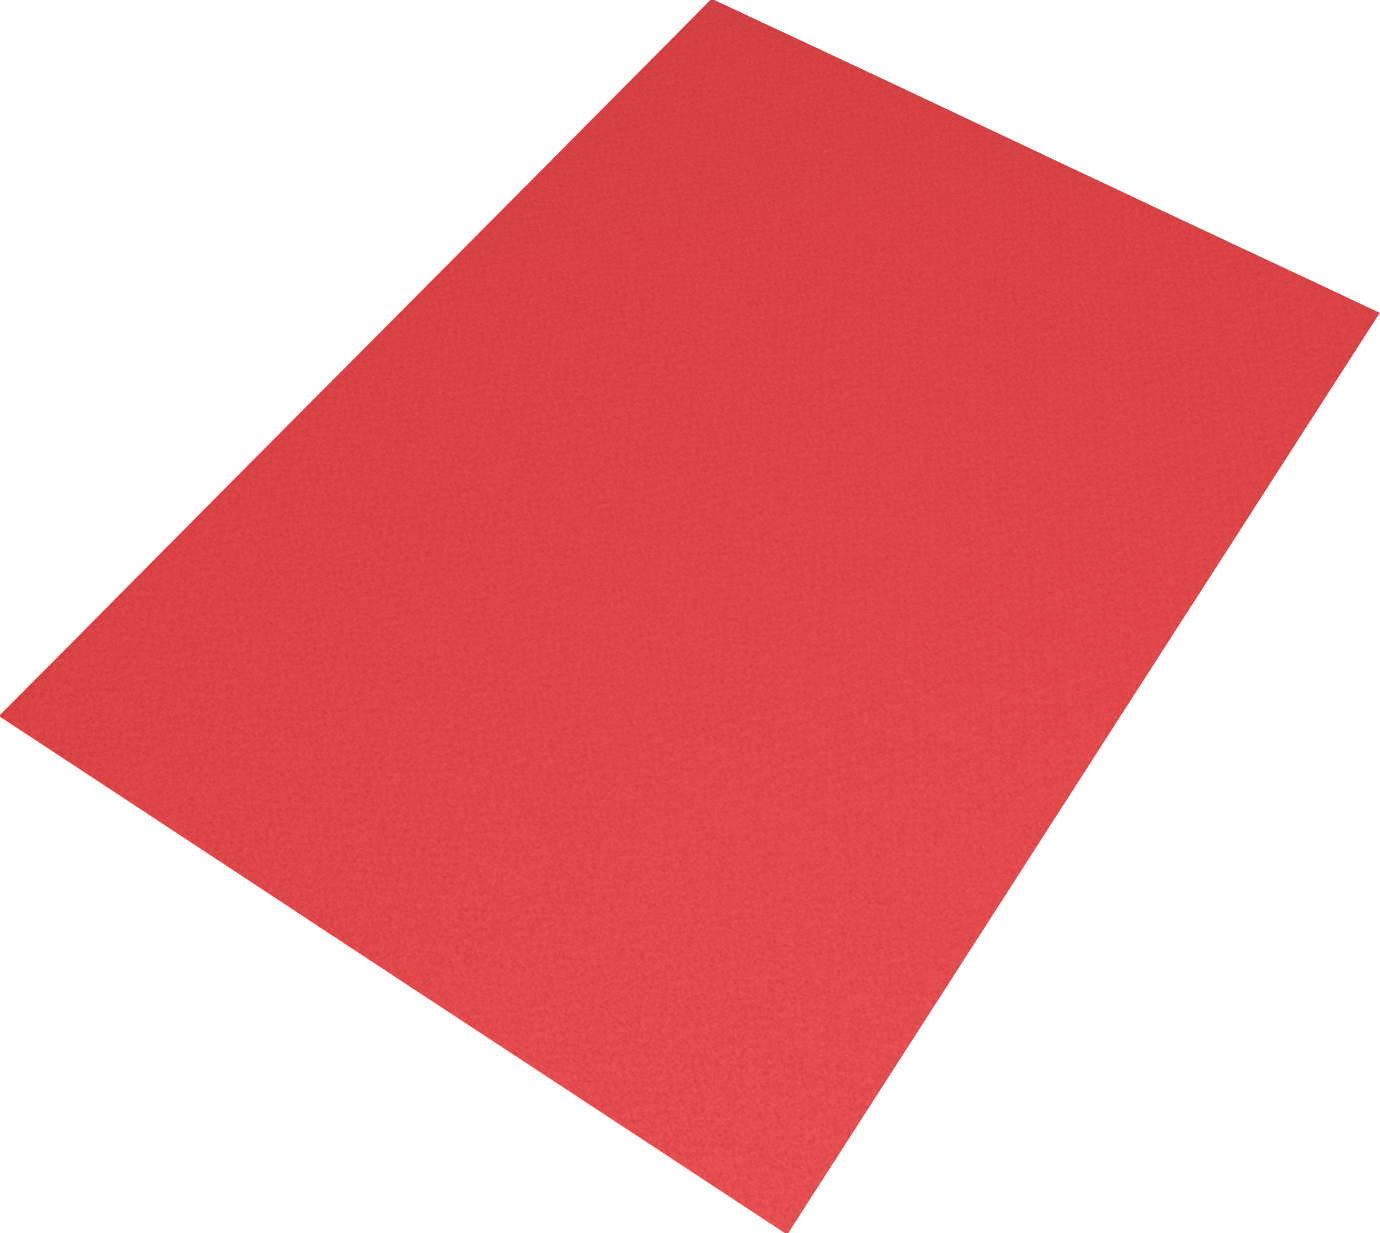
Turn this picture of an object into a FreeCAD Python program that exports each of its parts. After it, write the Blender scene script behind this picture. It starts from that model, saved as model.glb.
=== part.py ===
"""One flat, rectangular sheet of card, cut square on a guillotine.

Frame: +Z up, +X along the short side, +Y along the long side. The origin is the centre of
the underside, the face that the sheet lies on.
"""

import FreeCAD, Part
import os

# Driving dimensions, in millimetres.
SHEET_WIDTH = 210.0  # the short side, along X
SHEET_LENGTH = 297.0  # the long side, along Y
SHEET_THICKNESS = 0.3  # the calliper of the card
CORNER_RADIUS = 0.2  # handling blunts the cut corners by this much
BLADE_ROLL = 0.04  # the blade enters from above and rounds the top edge by this much

PARTS_FOLDER = "parts"


def corner_arc(centre_x, centre_y, radius, from_point, to_point):
    """A quarter circle between two points, bulging away from the sheet's middle."""
    reach = radius / 2**0.5
    side_x = 1 if centre_x > 0 else -1
    side_y = 1 if centre_y > 0 else -1
    middle = FreeCAD.Vector(centre_x + side_x * reach, centre_y + side_y * reach, 0)
    return Part.Arc(from_point, middle, to_point).toShape()


def sheet_outline(width, length, radius):
    """The closed outline of the sheet on its underside, anticlockwise seen from above."""
    half_x = width / 2
    half_y = length / 2
    in_x = half_x - radius
    in_y = half_y - radius
    near_left = FreeCAD.Vector(-in_x, -half_y, 0)
    near_right = FreeCAD.Vector(in_x, -half_y, 0)
    right_near = FreeCAD.Vector(half_x, -in_y, 0)
    right_far = FreeCAD.Vector(half_x, in_y, 0)
    far_right = FreeCAD.Vector(in_x, half_y, 0)
    far_left = FreeCAD.Vector(-in_x, half_y, 0)
    left_far = FreeCAD.Vector(-half_x, in_y, 0)
    left_near = FreeCAD.Vector(-half_x, -in_y, 0)
    return Part.Wire(
        [
            Part.LineSegment(near_left, near_right).toShape(),
            corner_arc(in_x, -in_y, radius, near_right, right_near),
            Part.LineSegment(right_near, right_far).toShape(),
            corner_arc(in_x, in_y, radius, right_far, far_right),
            Part.LineSegment(far_right, far_left).toShape(),
            corner_arc(-in_x, in_y, radius, far_left, left_far),
            Part.LineSegment(left_far, left_near).toShape(),
            corner_arc(-in_x, -in_y, radius, left_near, near_left),
        ]
    )


def top_edges(solid, height):
    """The edges that bound the top face of a plate this high."""
    halfway_up = height / 2
    return [edge for edge in solid.Edges if edge.BoundBox.ZMin > halfway_up]


def card_sheet():
    """The whole sheet: a thin plate with blunted corners and a rolled top edge."""
    outline = sheet_outline(SHEET_WIDTH, SHEET_LENGTH, CORNER_RADIUS)
    plate = Part.Face(outline).extrude(FreeCAD.Vector(0, 0, SHEET_THICKNESS))
    return plate.makeFillet(BLADE_ROLL, top_edges(plate, SHEET_THICKNESS))


def main():
    os.makedirs(PARTS_FOLDER, exist_ok=True)
    sheet = card_sheet()
    sheet.exportStep(os.path.join(PARTS_FOLDER, "card_sheet.step"))
    box = sheet.optimalBoundingBox()
    print("card_sheet", round(box.XLength, 3), round(box.YLength, 3), round(box.ZLength, 3), "mm")
    print("volume", round(sheet.Volume, 1), "mm3, valid", sheet.isValid(), "solids", len(sheet.Solids))


main()
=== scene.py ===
"""The looks of one A4 sheet of red card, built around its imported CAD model.

The file is laid out as a Blender add-on and is run as a script. Every length is in metres, apart
from those of the camera's lens and sensor. The sheet lies on the floor with its short side along X
and its long side along Y. Its upper face, its underside and its cut edge share one set of shader
groups, each with values of its own.
"""

import math

import bpy
from bpy.props import FloatProperty, FloatVectorProperty, PointerProperty
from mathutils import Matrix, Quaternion, Vector


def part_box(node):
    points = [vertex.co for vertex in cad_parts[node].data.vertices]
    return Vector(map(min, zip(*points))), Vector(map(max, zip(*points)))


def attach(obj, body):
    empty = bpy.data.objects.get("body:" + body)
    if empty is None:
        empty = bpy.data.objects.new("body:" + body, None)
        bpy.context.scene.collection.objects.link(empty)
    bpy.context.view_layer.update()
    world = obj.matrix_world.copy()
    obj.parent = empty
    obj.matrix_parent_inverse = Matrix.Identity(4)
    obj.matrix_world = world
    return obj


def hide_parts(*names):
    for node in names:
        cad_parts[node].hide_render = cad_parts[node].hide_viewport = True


bl_info = {
    "name": "Card Sheet",
    "version": (1, 0, 0),
    "blender": (4, 5, 0),
    "location": "3D View > Sidebar > Card Sheet",
    "description": "Makes a sheet of dyed card with cut edges, and a studio to see it in",
    "category": "Object",
}

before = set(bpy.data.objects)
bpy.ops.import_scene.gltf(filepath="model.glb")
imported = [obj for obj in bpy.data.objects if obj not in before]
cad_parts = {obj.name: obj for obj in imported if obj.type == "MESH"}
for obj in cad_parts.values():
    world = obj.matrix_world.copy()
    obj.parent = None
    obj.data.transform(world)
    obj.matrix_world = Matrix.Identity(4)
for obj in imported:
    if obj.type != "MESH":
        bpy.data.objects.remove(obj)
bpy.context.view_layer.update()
SHEET_NODE = "card_sheet"
SHEET_LOW, SHEET_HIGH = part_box(SHEET_NODE)
SHEET_WIDTH, SHEET_LENGTH, SHEET_THICKNESS = SHEET_HIGH - SHEET_LOW

MM = 0.001
MICRON = 0.000001
TURN = 2 * math.pi
SENSOR_WIDTH = 36  # of the camera, in millimetres

# Edges flatter than this are shaded smooth.
SMOOTH_UP_TO = math.radians(40)

# The sheet's material slots, which its three kinds of face use.
UPPER, UNDER, CUT = range(3)

# In one repeat of the machine's fabric, the weft threads whose floats are centred on warp
# threads 0 to 3.
WEAVE_ORDER = (0, 1, 3, 2)
THREADS_PER_REPEAT = len(WEAVE_ORDER)


class CardSheetSizes(bpy.types.PropertyGroup):
    """The sheet's sizes beyond those that its CAD model sets."""

    cell: FloatProperty(
        name="Cell",
        description="Side of the mesh cells on the sheet's two faces",
        default=1.5 * MM,
        unit="LENGTH",
    )
    corner_radius: FloatProperty(
        name="Corner Radius",
        description="How far handling has blunted the four cut corners",
        default=0.2 * MM,
        unit="LENGTH",
    )
    blade_roll: FloatProperty(
        name="Blade Roll",
        description="Radius that the blade leaves along the upper edge, where it enters",
        default=40 * MICRON,
        unit="LENGTH",
    )
    burr: FloatProperty(
        name="Burr",
        description="Width of the broken lower edge, where the blade leaves",
        default=15 * MICRON,
        unit="LENGTH",
    )
    cut_roughness: FloatProperty(
        name="Cut Roughness",
        description="How far the torn fibres of the cut stand out or in",
        default=12 * MICRON,
        unit="LENGTH",
    )
    sway_height: FloatProperty(
        name="Sway Height",
        description="Height of the one long wave that keeps the sheet from lying dead flat",
        default=0.4 * MM,
        unit="LENGTH",
    )
    sway_width: FloatProperty(
        name="Sway Width",
        description="Width of the one long wave",
        default=260 * MM,
        unit="LENGTH",
    )
    cockle_height: FloatProperty(
        name="Cockle Height",
        description="Height of the slow waves that damp air leaves in a sheet",
        default=0.25 * MM,
        unit="LENGTH",
    )
    cockle_width: FloatProperty(
        name="Cockle Width",
        description="Width of the slow waves",
        default=90 * MM,
        unit="LENGTH",
    )
    ripple_height: FloatProperty(
        name="Ripple Height",
        description="Height of the small uneven patches between the waves",
        default=0.04 * MM,
        unit="LENGTH",
    )
    ripple_width: FloatProperty(
        name="Ripple Width",
        description="Width of the small uneven patches",
        default=16 * MM,
        unit="LENGTH",
    )


class CardSheetFinish(bpy.types.PropertyGroup):
    """The colours and the grain of the card."""

    pale: FloatVectorProperty(
        name="Pale Red",
        description="The lightest red of the card's mottle",
        default=(0.682, 0.0405, 0.0442),
        subtype="COLOR",
        min=0,
        max=1,
    )
    deep: FloatVectorProperty(
        name="Deep Red",
        description="The deepest red of the card's mottle",
        default=(0.524, 0.0037, 0.0077),
        subtype="COLOR",
        min=0,
        max=1,
    )
    dark_speck: FloatVectorProperty(
        name="Dark Speck",
        description="Colour of the rare dark specks",
        default=(0.30, 0.015, 0.017),
        subtype="COLOR",
        min=0,
        max=1,
    )
    light_speck: FloatVectorProperty(
        name="Light Speck",
        description="Colour of the rare light specks",
        default=(0.75, 0.12, 0.12),
        subtype="COLOR",
        min=0,
        max=1,
    )
    warp_pitch: FloatProperty(
        name="Warp Pitch",
        description="Spacing across the sheet of the marks of the fabric's lengthwise threads",
        default=0.783 * MM,
        unit="LENGTH",
    )
    weft_pitch: FloatProperty(
        name="Weft Pitch",
        description="Spacing along the sheet of the marks of the fabric's crosswise threads",
        default=1.27 * MM,
        unit="LENGTH",
    )
    weft_skew: FloatProperty(
        name="Weft Skew",
        description="How far the crosswise threads have been dragged off square",
        default=math.radians(9),
        subtype="ANGLE",
    )


class CardStageSettings(bpy.types.PropertyGroup):
    """The floor, the lights and the camera."""

    floor_colour: FloatVectorProperty(
        name="Floor",
        description="Colour of the pale floor",
        default=(0.9, 0.9, 0.9),
        subtype="COLOR",
        min=0,
        max=1,
    )
    floor_glow: FloatProperty(
        name="Floor Glow",
        description="How brightly the floor, an opal light table, glows by itself",
        default=0.68,
        min=0,
    )
    key_power: FloatProperty(
        name="Key Light",
        description="Power of the large soft light above the near right corner",
        default=9.4,
        unit="POWER",
    )
    key_azimuth: FloatProperty(
        name="Key Azimuth",
        description="Where the key light stands round the sheet, from its near short side",
        default=math.radians(58),
        subtype="ANGLE",
    )
    key_elevation: FloatProperty(
        name="Key Elevation",
        description="How far above the sheet's plane the key light stands",
        default=math.radians(75),
        subtype="ANGLE",
    )
    key_distance: FloatProperty(
        name="Key Distance",
        description="From the key light to the middle of the sheet",
        default=1.0,
        unit="LENGTH",
    )
    key_size: FloatProperty(
        name="Key Size",
        description="Side of the key light",
        default=0.6,
        unit="LENGTH",
    )
    room_light: FloatProperty(
        name="Room Light",
        description="Brightness of the even light from all round",
        default=0.386,
        min=0,
    )
    camera_azimuth: FloatProperty(
        name="Camera Azimuth",
        description="Where the camera stands round the sheet, from its near short side",
        default=math.radians(31.135),
        subtype="ANGLE",
    )
    camera_elevation: FloatProperty(
        name="Camera Elevation",
        description="How far above the sheet's plane the camera stands",
        default=math.radians(56.181),
        subtype="ANGLE",
    )
    camera_roll: FloatProperty(
        name="Camera Roll",
        description="How far the camera is turned about its own axis",
        default=math.radians(3.17),
        subtype="ANGLE",
    )
    camera_distance: FloatProperty(
        name="Camera Distance",
        description="From the camera to the point on the sheet that it looks at",
        default=0.5103,
        unit="LENGTH",
    )
    camera_lens: FloatProperty(
        name="Camera Lens",
        description="Focal length, in millimetres, on a 36 mm wide sensor",
        default=56.503,
    )
    camera_aim: FloatVectorProperty(
        name="Camera Aim",
        description="The point on the sheet that the camera looks at",
        default=(0.76 * MM, -40.98 * MM),
        size=2,
        unit="LENGTH",
    )
    camera_shift: FloatVectorProperty(
        name="Camera Shift",
        description="How far the lens is shifted, as a share of the sensor's width",
        default=(0.0277, -0.0014),
        size=2,
    )


class Wiring:
    """Adds nodes to one node tree and joins them up."""

    def __init__(self, tree):
        self.tree = tree

    def node(self, kind, inputs=(), **settings):
        """A new node. inputs maps its sockets, by name or number, to values or to outputs."""
        made = self.tree.nodes.new(kind)
        for name, value in settings.items():
            setattr(made, name, value)
        for name, value in dict(inputs).items():
            self.feed(made.inputs[name], value)
        return made

    def feed(self, socket, value):
        """Gives a socket a value, or links it to an output."""
        if isinstance(value, bpy.types.NodeSocket):
            self.tree.links.new(value, socket)
        else:
            socket.default_value = value

    def maths(self, operation, *values):
        """The output of a Math node."""
        return self.node("ShaderNodeMath", enumerate(values), operation=operation).outputs[0]

    def vector_maths(self, operation, *values):
        """The output of a Vector Math node."""
        return self.node("ShaderNodeVectorMath", enumerate(values), operation=operation).outputs[0]

    def noise(self, place, scale, detail):
        """A noise texture's value, spread around 0 within about -1 and 1."""
        inputs = {"Vector": place, "Scale": scale, "Detail": detail}
        value = self.node("ShaderNodeTexNoise", inputs).outputs["Fac"]
        return self.maths("MULTIPLY_ADD", value, 2.0, -1.0)

    def mix_colour(self, share, first, second):
        """A colour between two others."""
        made = self.node("ShaderNodeMix", data_type="RGBA")
        colour_inputs = [socket for socket in made.inputs if socket.type == "RGBA"]
        self.feed(made.inputs["Factor"], share)
        self.feed(colour_inputs[0], first)
        self.feed(colour_inputs[1], second)
        return next(socket for socket in made.outputs if socket.type == "RGBA")


def new_group(name, inputs, outputs):
    """An empty shader group, as its wiring, its given values and its results.

    inputs maps each name to a default number, or to None for a vector. outputs lists names of
    numbers.
    """
    tree = bpy.data.node_groups.new(name, "ShaderNodeTree")
    for label, default in inputs.items():
        kind = "NodeSocketVector" if default is None else "NodeSocketFloat"
        socket = tree.interface.new_socket(label, in_out="INPUT", socket_type=kind)
        if default is not None:
            socket.default_value = default
    for label in outputs:
        tree.interface.new_socket(label, in_out="OUTPUT", socket_type="NodeSocketFloat")
    wiring = Wiring(tree)
    return wiring, wiring.node("NodeGroupInput").outputs, wiring.node("NodeGroupOutput").inputs


def build_fabric_mark():
    """The pattern that the crosswise threads of a paper machine's fabric press into the wet sheet.

    Each repeat has four warp and four weft threads, and each weft thread floats over three warp
    threads and dips under one. Mark is near 1 along the middle of a float and 0 between floats.
    """
    wiring, given, result = new_group(
        "fabric_mark",
        {
            "Place": None,
            "Warp Pitch": 0.8 * MM,
            "Weft Pitch": 1.2 * MM,
            "Skew": 0.15,
            "Wander": 0.2 * MM,
            "Patchiness": 0.6,
        },
        ["Mark"],
    )
    wander_scale, patch_scale = 30.0, 45.0
    float_edge, float_softness, float_narrowness = -0.25, 0.55, 9.0

    haze = wiring.node(
        "ShaderNodeTexNoise", {"Vector": given["Place"], "Scale": wander_scale, "Detail": 1.0}
    ).outputs["Color"]
    direction = wiring.vector_maths("SUBTRACT", haze, (0.5, 0.5, 0.5))
    drift = wiring.node(
        "ShaderNodeVectorMath", {0: direction, "Scale": given["Wander"]}, operation="SCALE"
    ).outputs[0]
    moved = wiring.vector_maths("ADD", given["Place"], drift)
    place = wiring.node("ShaderNodeSeparateXYZ", {0: moved}).outputs
    across = wiring.maths("DIVIDE", place["X"], given["Warp Pitch"])
    skewed = wiring.maths("MULTIPLY_ADD", place["X"], given["Skew"], place["Y"])
    along = wiring.maths("DIVIDE", skewed, given["Weft Pitch"])

    def swing(threads, thread):
        """From -1 to 1 and back over one repeat, with its top on this thread."""
        turns = wiring.maths("SUBTRACT", threads, float(thread))
        return wiring.maths("COSINE", wiring.maths("MULTIPLY", turns, TURN / THREADS_PER_REPEAT))

    mark = 0.0
    for warp, weft in enumerate(WEAVE_ORDER):
        run = wiring.node(
            "ShaderNodeMapRange",
            {
                "Value": swing(across, warp),
                "From Min": float_edge - float_softness,
                "From Max": float_edge + float_softness,
            },
            interpolation_type="SMOOTHSTEP",
        ).outputs[0]
        height = wiring.maths("MULTIPLY_ADD", swing(along, weft), 0.5, 0.5)
        height = wiring.maths("POWER", height, float_narrowness)
        mark = wiring.maths("MULTIPLY_ADD", run, height, mark)

    patches = wiring.noise(given["Place"], patch_scale, detail=3.0)
    strength = wiring.maths("MULTIPLY_ADD", patches, given["Patchiness"], 1.0)
    wiring.feed(result["Mark"], wiring.maths("MULTIPLY", mark, strength))
    return wiring.tree


def build_felt():
    """The felted fibres of the sheet, as a value around 0.

    Fibre Depth is how far through the sheet the pattern runs before it changes.
    """
    wiring, given, result = new_group(
        "fibre_felt",
        {
            "Place": None,
            "Fibre Length": 0.8 * MM,
            "Fibre Width": 0.35 * MM,
            "Fibre Depth": 20 * MM,
        },
        ["Felt"],
    )
    directions = (12, 74, 131)
    # The noise is flatter on a whole level of its grid than halfway between two of them.
    level_at_underside = 0.22
    felt = 0.0
    for degrees in directions:
        turned = wiring.node(
            "ShaderNodeVectorRotate",
            {"Vector": given["Place"], "Angle": math.radians(degrees)},
            rotation_type="Z_AXIS",
        ).outputs[0]
        part = wiring.node("ShaderNodeSeparateXYZ", {0: turned}).outputs
        lengthwise = wiring.maths("DIVIDE", part["X"], given["Fibre Length"])
        crosswise = wiring.maths("DIVIDE", part["Y"], given["Fibre Width"])
        through = wiring.maths("DIVIDE", part["Z"], given["Fibre Depth"])
        through = wiring.maths("ADD", through, level_at_underside)
        stretched = wiring.node(
            "ShaderNodeCombineXYZ", {"X": lengthwise, "Y": crosswise, "Z": through}
        ).outputs[0]
        felt = wiring.maths("ADD", felt, wiring.noise(stretched, 1.0, detail=0.0))
    wiring.feed(result["Felt"], felt)
    return wiring.tree


def build_formation():
    """The clouds that show where the fibres lie thicker, as a value around 0."""
    wiring, given, result = new_group(
        "formation", {"Place": None, "Cloud Width": 5 * MM}, ["Clouds"]
    )
    scale = wiring.maths("DIVIDE", 1.0, given["Cloud Width"])
    wiring.feed(result["Clouds"], wiring.noise(given["Place"], scale, detail=0.0))
    return wiring.tree


def build_flecks():
    """Rare specks. Fleck is 1 on a speck, and Light is 1 where that speck is a light one."""
    wiring, given, result = new_group(
        "flecks",
        {"Place": None, "Spacing": 6 * MM, "Size": 0.15 * MM, "Share": 0.05, "Light Share": 0.5},
        ["Fleck", "Light"],
    )
    cells = wiring.node(
        "ShaderNodeTexVoronoi",
        {"Vector": given["Place"], "Scale": wiring.maths("DIVIDE", 1.0, given["Spacing"])},
    ).outputs
    reach = wiring.maths("DIVIDE", given["Size"], given["Spacing"])
    near = wiring.maths("LESS_THAN", cells["Distance"], reach)
    draws = wiring.node("ShaderNodeSeparateColor", {0: cells["Color"]}).outputs
    chosen = wiring.maths("LESS_THAN", draws["Red"], given["Share"])
    wiring.feed(result["Fleck"], wiring.maths("MULTIPLY", near, chosen))
    dark_share = wiring.maths("SUBTRACT", 1.0, given["Light Share"])
    wiring.feed(result["Light"], wiring.maths("GREATER_THAN", draws["Green"], dark_share))
    return wiring.tree


def card_material(name, groups, finish, mark, felt, clouds, relief, fibre_depth):
    """The material of one kind of face.

    mark, felt and clouds are shares of the step from deep to pale red. relief is the depth in
    metres of the fabric mark. fibre_depth is large on a face, which shows one layer of the felt,
    and small on the cut, which shows many.
    """
    material = bpy.data.materials.new(name)
    material.use_nodes = True
    material.node_tree.nodes.clear()
    wiring = Wiring(material.node_tree)
    place = wiring.node("ShaderNodeTexCoord").outputs["Object"]

    def effect(group, **inputs):
        made = wiring.node("ShaderNodeGroup", node_tree=groups[group])
        wiring.feed(made.inputs["Place"], place)
        for label, value in inputs.items():
            wiring.feed(made.inputs[label.replace("_", " ")], value)
        return made.outputs

    pressed = effect(
        "fabric_mark",
        Warp_Pitch=finish.warp_pitch,
        Weft_Pitch=finish.weft_pitch,
        Skew=math.tan(finish.weft_skew),
    )["Mark"]
    fibres = effect("fibre_felt", Fibre_Depth=fibre_depth)["Felt"]
    cloudy = effect("formation")["Clouds"]
    specks = effect("flecks")

    middle_mark, middle_tone = 0.43, 0.5
    raised = wiring.maths("SUBTRACT", middle_mark, pressed)
    tone = wiring.maths("MULTIPLY_ADD", raised, mark, middle_tone)
    tone = wiring.maths("MULTIPLY_ADD", fibres, felt, tone)
    tone = wiring.maths("MULTIPLY_ADD", cloudy, clouds, tone)
    red = wiring.mix_colour(tone, (*finish.deep, 1), (*finish.pale, 1))
    dark, light = (*finish.dark_speck, 1), (*finish.light_speck, 1)
    speck_colour = wiring.mix_colour(specks["Light"], dark, light)
    colour = wiring.mix_colour(specks["Fleck"], red, speck_colour)

    middle_roughness, polish_of_fibres, fibre_relief = 0.67, 0.04, 3 * MICRON
    roughness = wiring.maths("MULTIPLY_ADD", fibres, -polish_of_fibres, middle_roughness)
    height = wiring.maths("MULTIPLY", pressed, -relief)
    height = wiring.maths("MULTIPLY_ADD", fibres, fibre_relief, height)
    bump = wiring.node("ShaderNodeBump", {"Height": height, "Strength": 1.0, "Distance": 1.0})
    shader = wiring.node(
        "ShaderNodeBsdfPrincipled",
        {
            "Base Color": colour,
            "Roughness": roughness,
            "Normal": bump.outputs[0],
            "IOR": 1.5,
            "Specular IOR Level": 0.5,
            "Sheen Weight": 0.04,
            "Sheen Roughness": 0.5,
        },
    )
    wiring.node("ShaderNodeOutputMaterial", {"Surface": shader.outputs[0]})
    return material


def card_materials(finish):
    """The three materials, in the order of the sheet's slots."""
    groups = {
        tree.name: tree
        for tree in (build_fabric_mark(), build_felt(), build_formation(), build_flecks())
    }
    one_layer, many_layers = 20 * MM, 0.1 * MM
    faces = {
        "card_upper": {"mark": 0.15, "felt": 0.31, "clouds": 0.04, "relief": 8 * MICRON},
        "card_under": {"mark": 0.24, "felt": 0.31, "clouds": 0.05, "relief": 12 * MICRON},
    }
    materials = [
        card_material(name, groups, finish, fibre_depth=one_layer, **values)
        for name, values in faces.items()
    ]
    cut = {"mark": 0.0, "felt": 0.4, "clouds": 0.1, "relief": 0.0}
    materials.append(card_material("card_cut", groups, finish, fibre_depth=many_layers, **cut))
    return materials


def select_in_edit_mode(piece, kind, wanted):
    """Leaves piece in edit mode with only these of its elements, of kind VERT or EDGE, selected."""
    bpy.ops.object.mode_set(mode="EDIT")
    bpy.ops.mesh.select_mode(type=kind)
    bpy.ops.mesh.select_all(action="DESELECT")
    bpy.ops.object.mode_set(mode="OBJECT")
    elements = {"VERT": piece.data.vertices, "EDGE": piece.data.edges}[kind]
    chosen = set(wanted)
    for element in elements:
        element.select = element.index in chosen
    bpy.ops.object.mode_set(mode="EDIT")


def apply_modifier(piece, kind, **settings):
    """Adds a modifier with these settings and applies it."""
    modifier = piece.modifiers.new(kind.lower(), kind)
    for name, value in settings.items():
        setattr(modifier, name, value)
    bpy.ops.object.modifier_apply(modifier=modifier.name)


def edges_between(mesh, *slots):
    """The numbers of the edges whose faces have these slots and no others."""
    found = {}
    numbers = {edge.key: edge.index for edge in mesh.edges}
    for face in mesh.polygons:
        for key in face.edge_keys:
            found.setdefault(numbers[key], set()).add(face.material_index)
    return [number for number, beside in found.items() if beside == set(slots)]


def add_flat_blank(sizes):
    """A flat grid as large as the sheet at the height of its upper face, with blunted corners."""
    middle = (SHEET_LOW + SHEET_HIGH) / 2
    bpy.ops.object.select_all(action="DESELECT")
    bpy.ops.mesh.primitive_grid_add(
        x_subdivisions=round(SHEET_WIDTH / sizes.cell),
        y_subdivisions=round(SHEET_LENGTH / sizes.cell),
        size=1,
        location=(middle.x, middle.y, SHEET_HIGH.z),
        calc_uvs=False,
    )
    sheet = bpy.context.active_object
    sheet.name = "red_card_sheet"
    sheet.data.name = sheet.name
    bpy.ops.transform.resize(value=(SHEET_WIDTH, SHEET_LENGTH, 1))
    bpy.ops.object.transform_apply(location=True, scale=True)
    faces_at = {vertex.index: 0 for vertex in sheet.data.vertices}
    for face in sheet.data.polygons:
        for number in face.vertices:
            faces_at[number] += 1
    corners = [number for number, faces in faces_at.items() if faces == 1]
    select_in_edit_mode(sheet, "VERT", corners)
    bpy.ops.mesh.bevel(offset=sizes.corner_radius, segments=3, affect="VERTICES")
    bpy.ops.object.mode_set(mode="OBJECT")
    return sheet


def let_it_lie(sheet, sizes):
    """Gives the flat sheet the slight waves of a real one that nothing presses flat."""
    for name, width, height in (
        ("sway", sizes.sway_width, sizes.sway_height),
        ("cockle", sizes.cockle_width, sizes.cockle_height),
        ("ripple", sizes.ripple_width, sizes.ripple_height),
    ):
        waves = bpy.data.textures.new(name, "CLOUDS")
        waves.noise_scale = width
        waves.noise_depth = 0
        apply_modifier(
            sheet,
            "DISPLACE",
            texture=waves,
            texture_coords="LOCAL",
            direction="Z",
            strength=height,
            mid_level=0.5,
        )
        bpy.data.textures.remove(waves)


def give_it_body(sheet, sizes):
    """Gives the sheet its thickness, its rolled upper edge, its burr and its torn cut face."""
    apply_modifier(
        sheet,
        "SOLIDIFY",
        thickness=SHEET_THICKNESS,
        offset=-1,
        material_offset=UNDER,
        material_offset_rim=CUT,
    )
    select_in_edit_mode(sheet, "EDGE", edges_between(sheet.data, CUT))
    bpy.ops.mesh.subdivide(number_cuts=2)
    bpy.ops.object.mode_set(mode="OBJECT")

    for face_slot, offset, segments in ((UPPER, sizes.blade_roll, 3), (UNDER, sizes.burr, 1)):
        select_in_edit_mode(sheet, "EDGE", edges_between(sheet.data, face_slot, CUT))
        bpy.ops.mesh.bevel(offset=offset, segments=segments, affect="EDGES", material=CUT)
        bpy.ops.object.mode_set(mode="OBJECT")

    inner = {vertex.index for vertex in sheet.data.vertices}
    for face in sheet.data.polygons:
        if face.material_index != CUT:
            inner -= set(face.vertices)
    select_in_edit_mode(sheet, "VERT", inner)
    bpy.ops.transform.vertex_random(offset=sizes.cut_roughness, uniform=0, normal=0, seed=4)
    bpy.ops.object.mode_set(mode="OBJECT")


def lay_out_map(sheet, sizes):
    """Makes the sheet's UV map, named OFBake, while the sheet is still flat.

    The two faces lie side by side, and each cut wall has a narrow strip to the right of them.
    """
    gap, face_width, face_height = 0.008, 0.46, 0.984
    strip_width, strip_step = 0.0055, 0.0095
    first_strip = 3 * gap + 2 * face_width
    middle = (SHEET_LOW + SHEET_HIGH) / 2
    rounded = max(sizes.blade_roll, sizes.burr)
    wall_height = SHEET_THICKNESS + 2 * rounded

    def wall_of(face):
        """Which wall a cut face is on, from 0 to 3, and whether that wall runs along Y."""
        out_x = face.center.x - middle.x
        out_y = face.center.y - middle.y
        runs_along_y = SHEET_WIDTH / 2 - abs(out_x) < SHEET_LENGTH / 2 - abs(out_y)
        outward = out_x if runs_along_y else out_y
        return 2 * runs_along_y + (outward > 0), runs_along_y

    layer = sheet.data.uv_layers.new(name="OFBake")
    for face in sheet.data.polygons:
        wall, runs_along_y = wall_of(face)
        for corner in face.loop_indices:
            place = sheet.data.vertices[sheet.data.loops[corner].vertex_index].co
            across = (place.x - SHEET_LOW.x) / SHEET_WIDTH
            along = (place.y - SHEET_LOW.y) / SHEET_LENGTH
            if face.material_index == UPPER:
                u = gap + across * face_width
            elif face.material_index == UNDER:
                u = 2 * gap + (2 - across) * face_width
            else:
                inset = SHEET_WIDTH / 2 - abs(place.x - middle.x)
                if not runs_along_y:
                    inset = SHEET_LENGTH / 2 - abs(place.y - middle.y)
                    along = across
                level = place.z - middle.z
                climb = level + math.copysign(min(max(inset, 0), rounded), level)
                u = first_strip + wall * strip_step + (climb / wall_height + 0.5) * strip_width
            layer.data[corner].uv = (u, gap + along * face_height)


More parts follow.
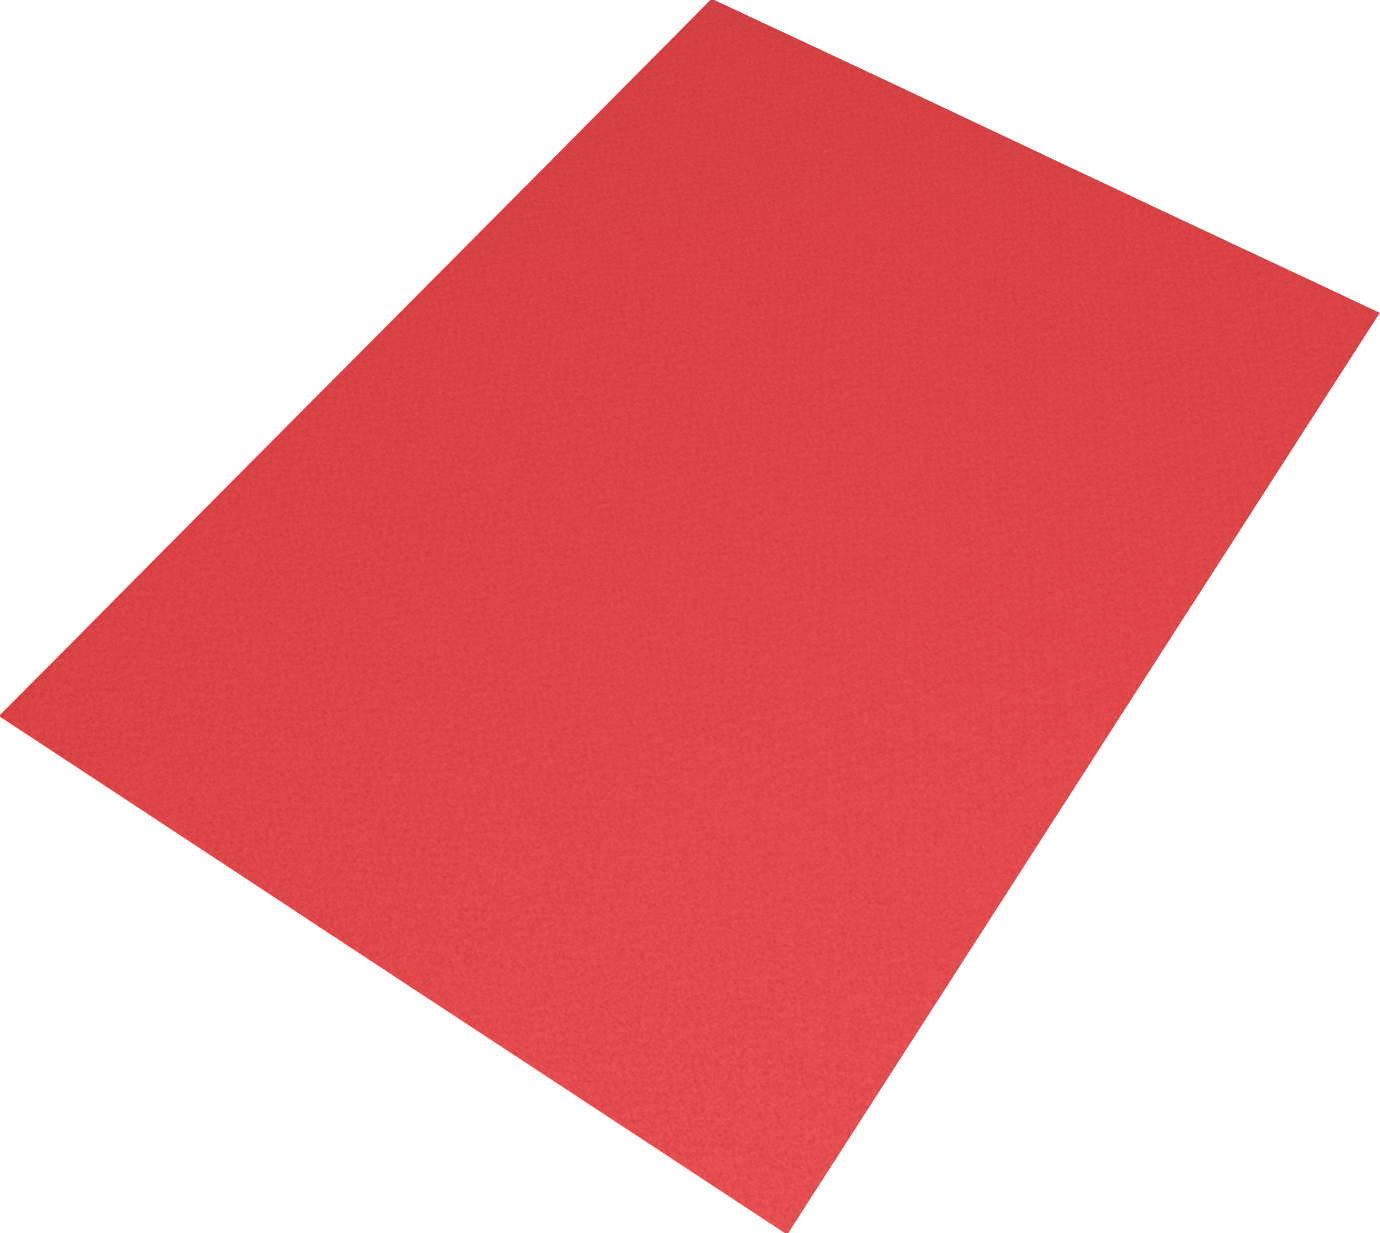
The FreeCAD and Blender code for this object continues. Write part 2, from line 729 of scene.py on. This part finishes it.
def set_down(sheet):
    """Lowers the sheet until its lowest point is at the height of the CAD model's underside."""
    lowest = min(vertex.co.z for vertex in sheet.data.vertices)
    select_in_edit_mode(sheet, "VERT", range(len(sheet.data.vertices)))
    bpy.ops.transform.translate(value=(0, 0, SHEET_LOW.z - lowest))
    bpy.ops.object.mode_set(mode="OBJECT")


class CARDSHEET_OT_sheet(bpy.types.Operator):
    """Make the sheet of red card in place of its plain CAD model"""

    bl_idname = "cardsheet.sheet"
    bl_label = "Card Sheet"

    def execute(self, context):
        sizes = context.scene.card_sheet_sizes
        sheet = add_flat_blank(sizes)
        for material in card_materials(context.scene.card_sheet_finish):
            sheet.data.materials.append(material)
        give_it_body(sheet, sizes)
        lay_out_map(sheet, sizes)
        let_it_lie(sheet, sizes)
        set_down(sheet)
        bpy.ops.object.shade_smooth_by_angle(angle=SMOOTH_UP_TO)
        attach(sheet, "root")
        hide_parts(SHEET_NODE)
        return {"FINISHED"}


def add_floor(colour, glow):
    """A round pale floor just under the sheet."""
    radius, gap_below_sheet = 6.0, 20 * MICRON
    grain_scale, grain_strength, middle_roughness = 12.0, 0.05, 0.85
    bpy.ops.mesh.primitive_circle_add(
        vertices=96,
        radius=radius,
        fill_type="NGON",
        location=(0, 0, SHEET_LOW.z - gap_below_sheet),
    )
    floor = bpy.context.active_object
    floor.name = "floor"
    bpy.ops.object.transform_apply(location=True)
    material = bpy.data.materials.new("pale_floor")
    material.cycles.emission_sampling = "NONE"
    material.use_nodes = True
    material.node_tree.nodes.clear()
    wiring = Wiring(material.node_tree)
    place = wiring.node("ShaderNodeTexCoord").outputs["Object"]
    grain = wiring.noise(place, grain_scale, detail=2.0)
    roughness = wiring.maths("MULTIPLY_ADD", grain, grain_strength, middle_roughness)
    shader = wiring.node(
        "ShaderNodeBsdfPrincipled",
        {
            "Base Color": (*colour, 1),
            "Roughness": roughness,
            "Specular IOR Level": 0.1,
            "Emission Color": (1, 1, 1, 1),
            "Emission Strength": glow,
        },
    )
    wiring.node("ShaderNodeOutputMaterial", {"Surface": shader.outputs[0]})
    floor.data.materials.append(material)


def direction_to(azimuth, elevation):
    """The direction from the sheet to something that stands round it and above it."""
    return Vector(
        (
            math.sin(azimuth) * math.cos(elevation),
            -math.cos(azimuth) * math.cos(elevation),
            math.sin(elevation),
        )
    )


def add_key_light(stage):
    """A large square soft light that faces the middle of the sheet."""
    back = direction_to(stage.key_azimuth, stage.key_elevation)
    data = bpy.data.lights.new("key_light", "AREA")
    data.shape = "SQUARE"
    data.size = stage.key_size
    data.energy = stage.key_power
    light = bpy.data.objects.new("key_light", data)
    light.location = (SHEET_LOW + SHEET_HIGH) / 2 + back * stage.key_distance
    light.rotation_mode = "QUATERNION"
    light.rotation_quaternion = (-back).to_track_quat("-Z", "Y")
    bpy.context.scene.collection.objects.link(light)


def light_room(brightness):
    """Even light from all round. The room itself is seen as white."""
    world = bpy.data.worlds.new("studio")
    world.use_nodes = True
    world.node_tree.nodes.clear()
    wiring = Wiring(world.node_tree)
    seen = wiring.node("ShaderNodeLightPath").outputs["Is Camera Ray"]
    strength = wiring.maths("MAXIMUM", seen, brightness)
    background = wiring.node("ShaderNodeBackground", {"Color": (1, 1, 1, 1), "Strength": strength})
    wiring.node("ShaderNodeOutputWorld", {"Surface": background.outputs[0]})
    bpy.context.scene.world = world


def add_camera(stage):
    """The camera, which looks down on the sheet from its near right."""
    aim = Vector((stage.camera_aim[0], stage.camera_aim[1], SHEET_HIGH.z))
    back = direction_to(stage.camera_azimuth, stage.camera_elevation)
    data = bpy.data.cameras.new("camera")
    data.sensor_width = SENSOR_WIDTH
    data.lens = stage.camera_lens
    data.shift_x, data.shift_y = stage.camera_shift
    camera = bpy.data.objects.new("camera", data)
    camera.location = aim + back * stage.camera_distance
    camera.rotation_mode = "QUATERNION"
    level = (-back).to_track_quat("-Z", "Y")
    camera.rotation_quaternion = level @ Quaternion((0, 0, 1), stage.camera_roll)
    bpy.context.scene.collection.objects.link(camera)
    bpy.context.scene.camera = camera


class CARDSHEET_OT_stage(bpy.types.Operator):
    """Make the floor, the lights and the camera"""

    bl_idname = "cardsheet.stage"
    bl_label = "Studio"

    def execute(self, context):
        stage = context.scene.card_stage
        bpy.ops.object.select_all(action="DESELECT")
        add_floor(stage.floor_colour, stage.floor_glow)
        add_key_light(stage)
        light_room(stage.room_light)
        add_camera(stage)
        context.scene.view_settings.view_transform = "Standard"
        return {"FINISHED"}


class CARDSHEET_PT_panel(bpy.types.Panel):
    """The add-on's panel in the 3D view's sidebar"""

    bl_label = "Card Sheet"
    bl_space_type = "VIEW_3D"
    bl_region_type = "UI"
    bl_category = "Card Sheet"

    def draw(self, context):
        scene = context.scene
        for group, operator in (
            (scene.card_sheet_sizes, None),
            (scene.card_sheet_finish, CARDSHEET_OT_sheet.bl_idname),
            (scene.card_stage, CARDSHEET_OT_stage.bl_idname),
        ):
            box = self.layout.box()
            for name in group.__annotations__:
                box.prop(group, name)
            if operator:
                box.operator(operator)


CLASSES = (
    CardSheetSizes,
    CardSheetFinish,
    CardStageSettings,
    CARDSHEET_OT_sheet,
    CARDSHEET_OT_stage,
    CARDSHEET_PT_panel,
)


def register():
    for cls in CLASSES:
        bpy.utils.register_class(cls)
    bpy.types.Scene.card_sheet_sizes = PointerProperty(type=CardSheetSizes)
    bpy.types.Scene.card_sheet_finish = PointerProperty(type=CardSheetFinish)
    bpy.types.Scene.card_stage = PointerProperty(type=CardStageSettings)


def unregister():
    del bpy.types.Scene.card_stage
    del bpy.types.Scene.card_sheet_finish
    del bpy.types.Scene.card_sheet_sizes
    for cls in reversed(CLASSES):
        bpy.utils.unregister_class(cls)


def main():
    register()
    bpy.ops.cardsheet.stage()
    bpy.ops.cardsheet.sheet()


if __name__ == "__main__":
    main()
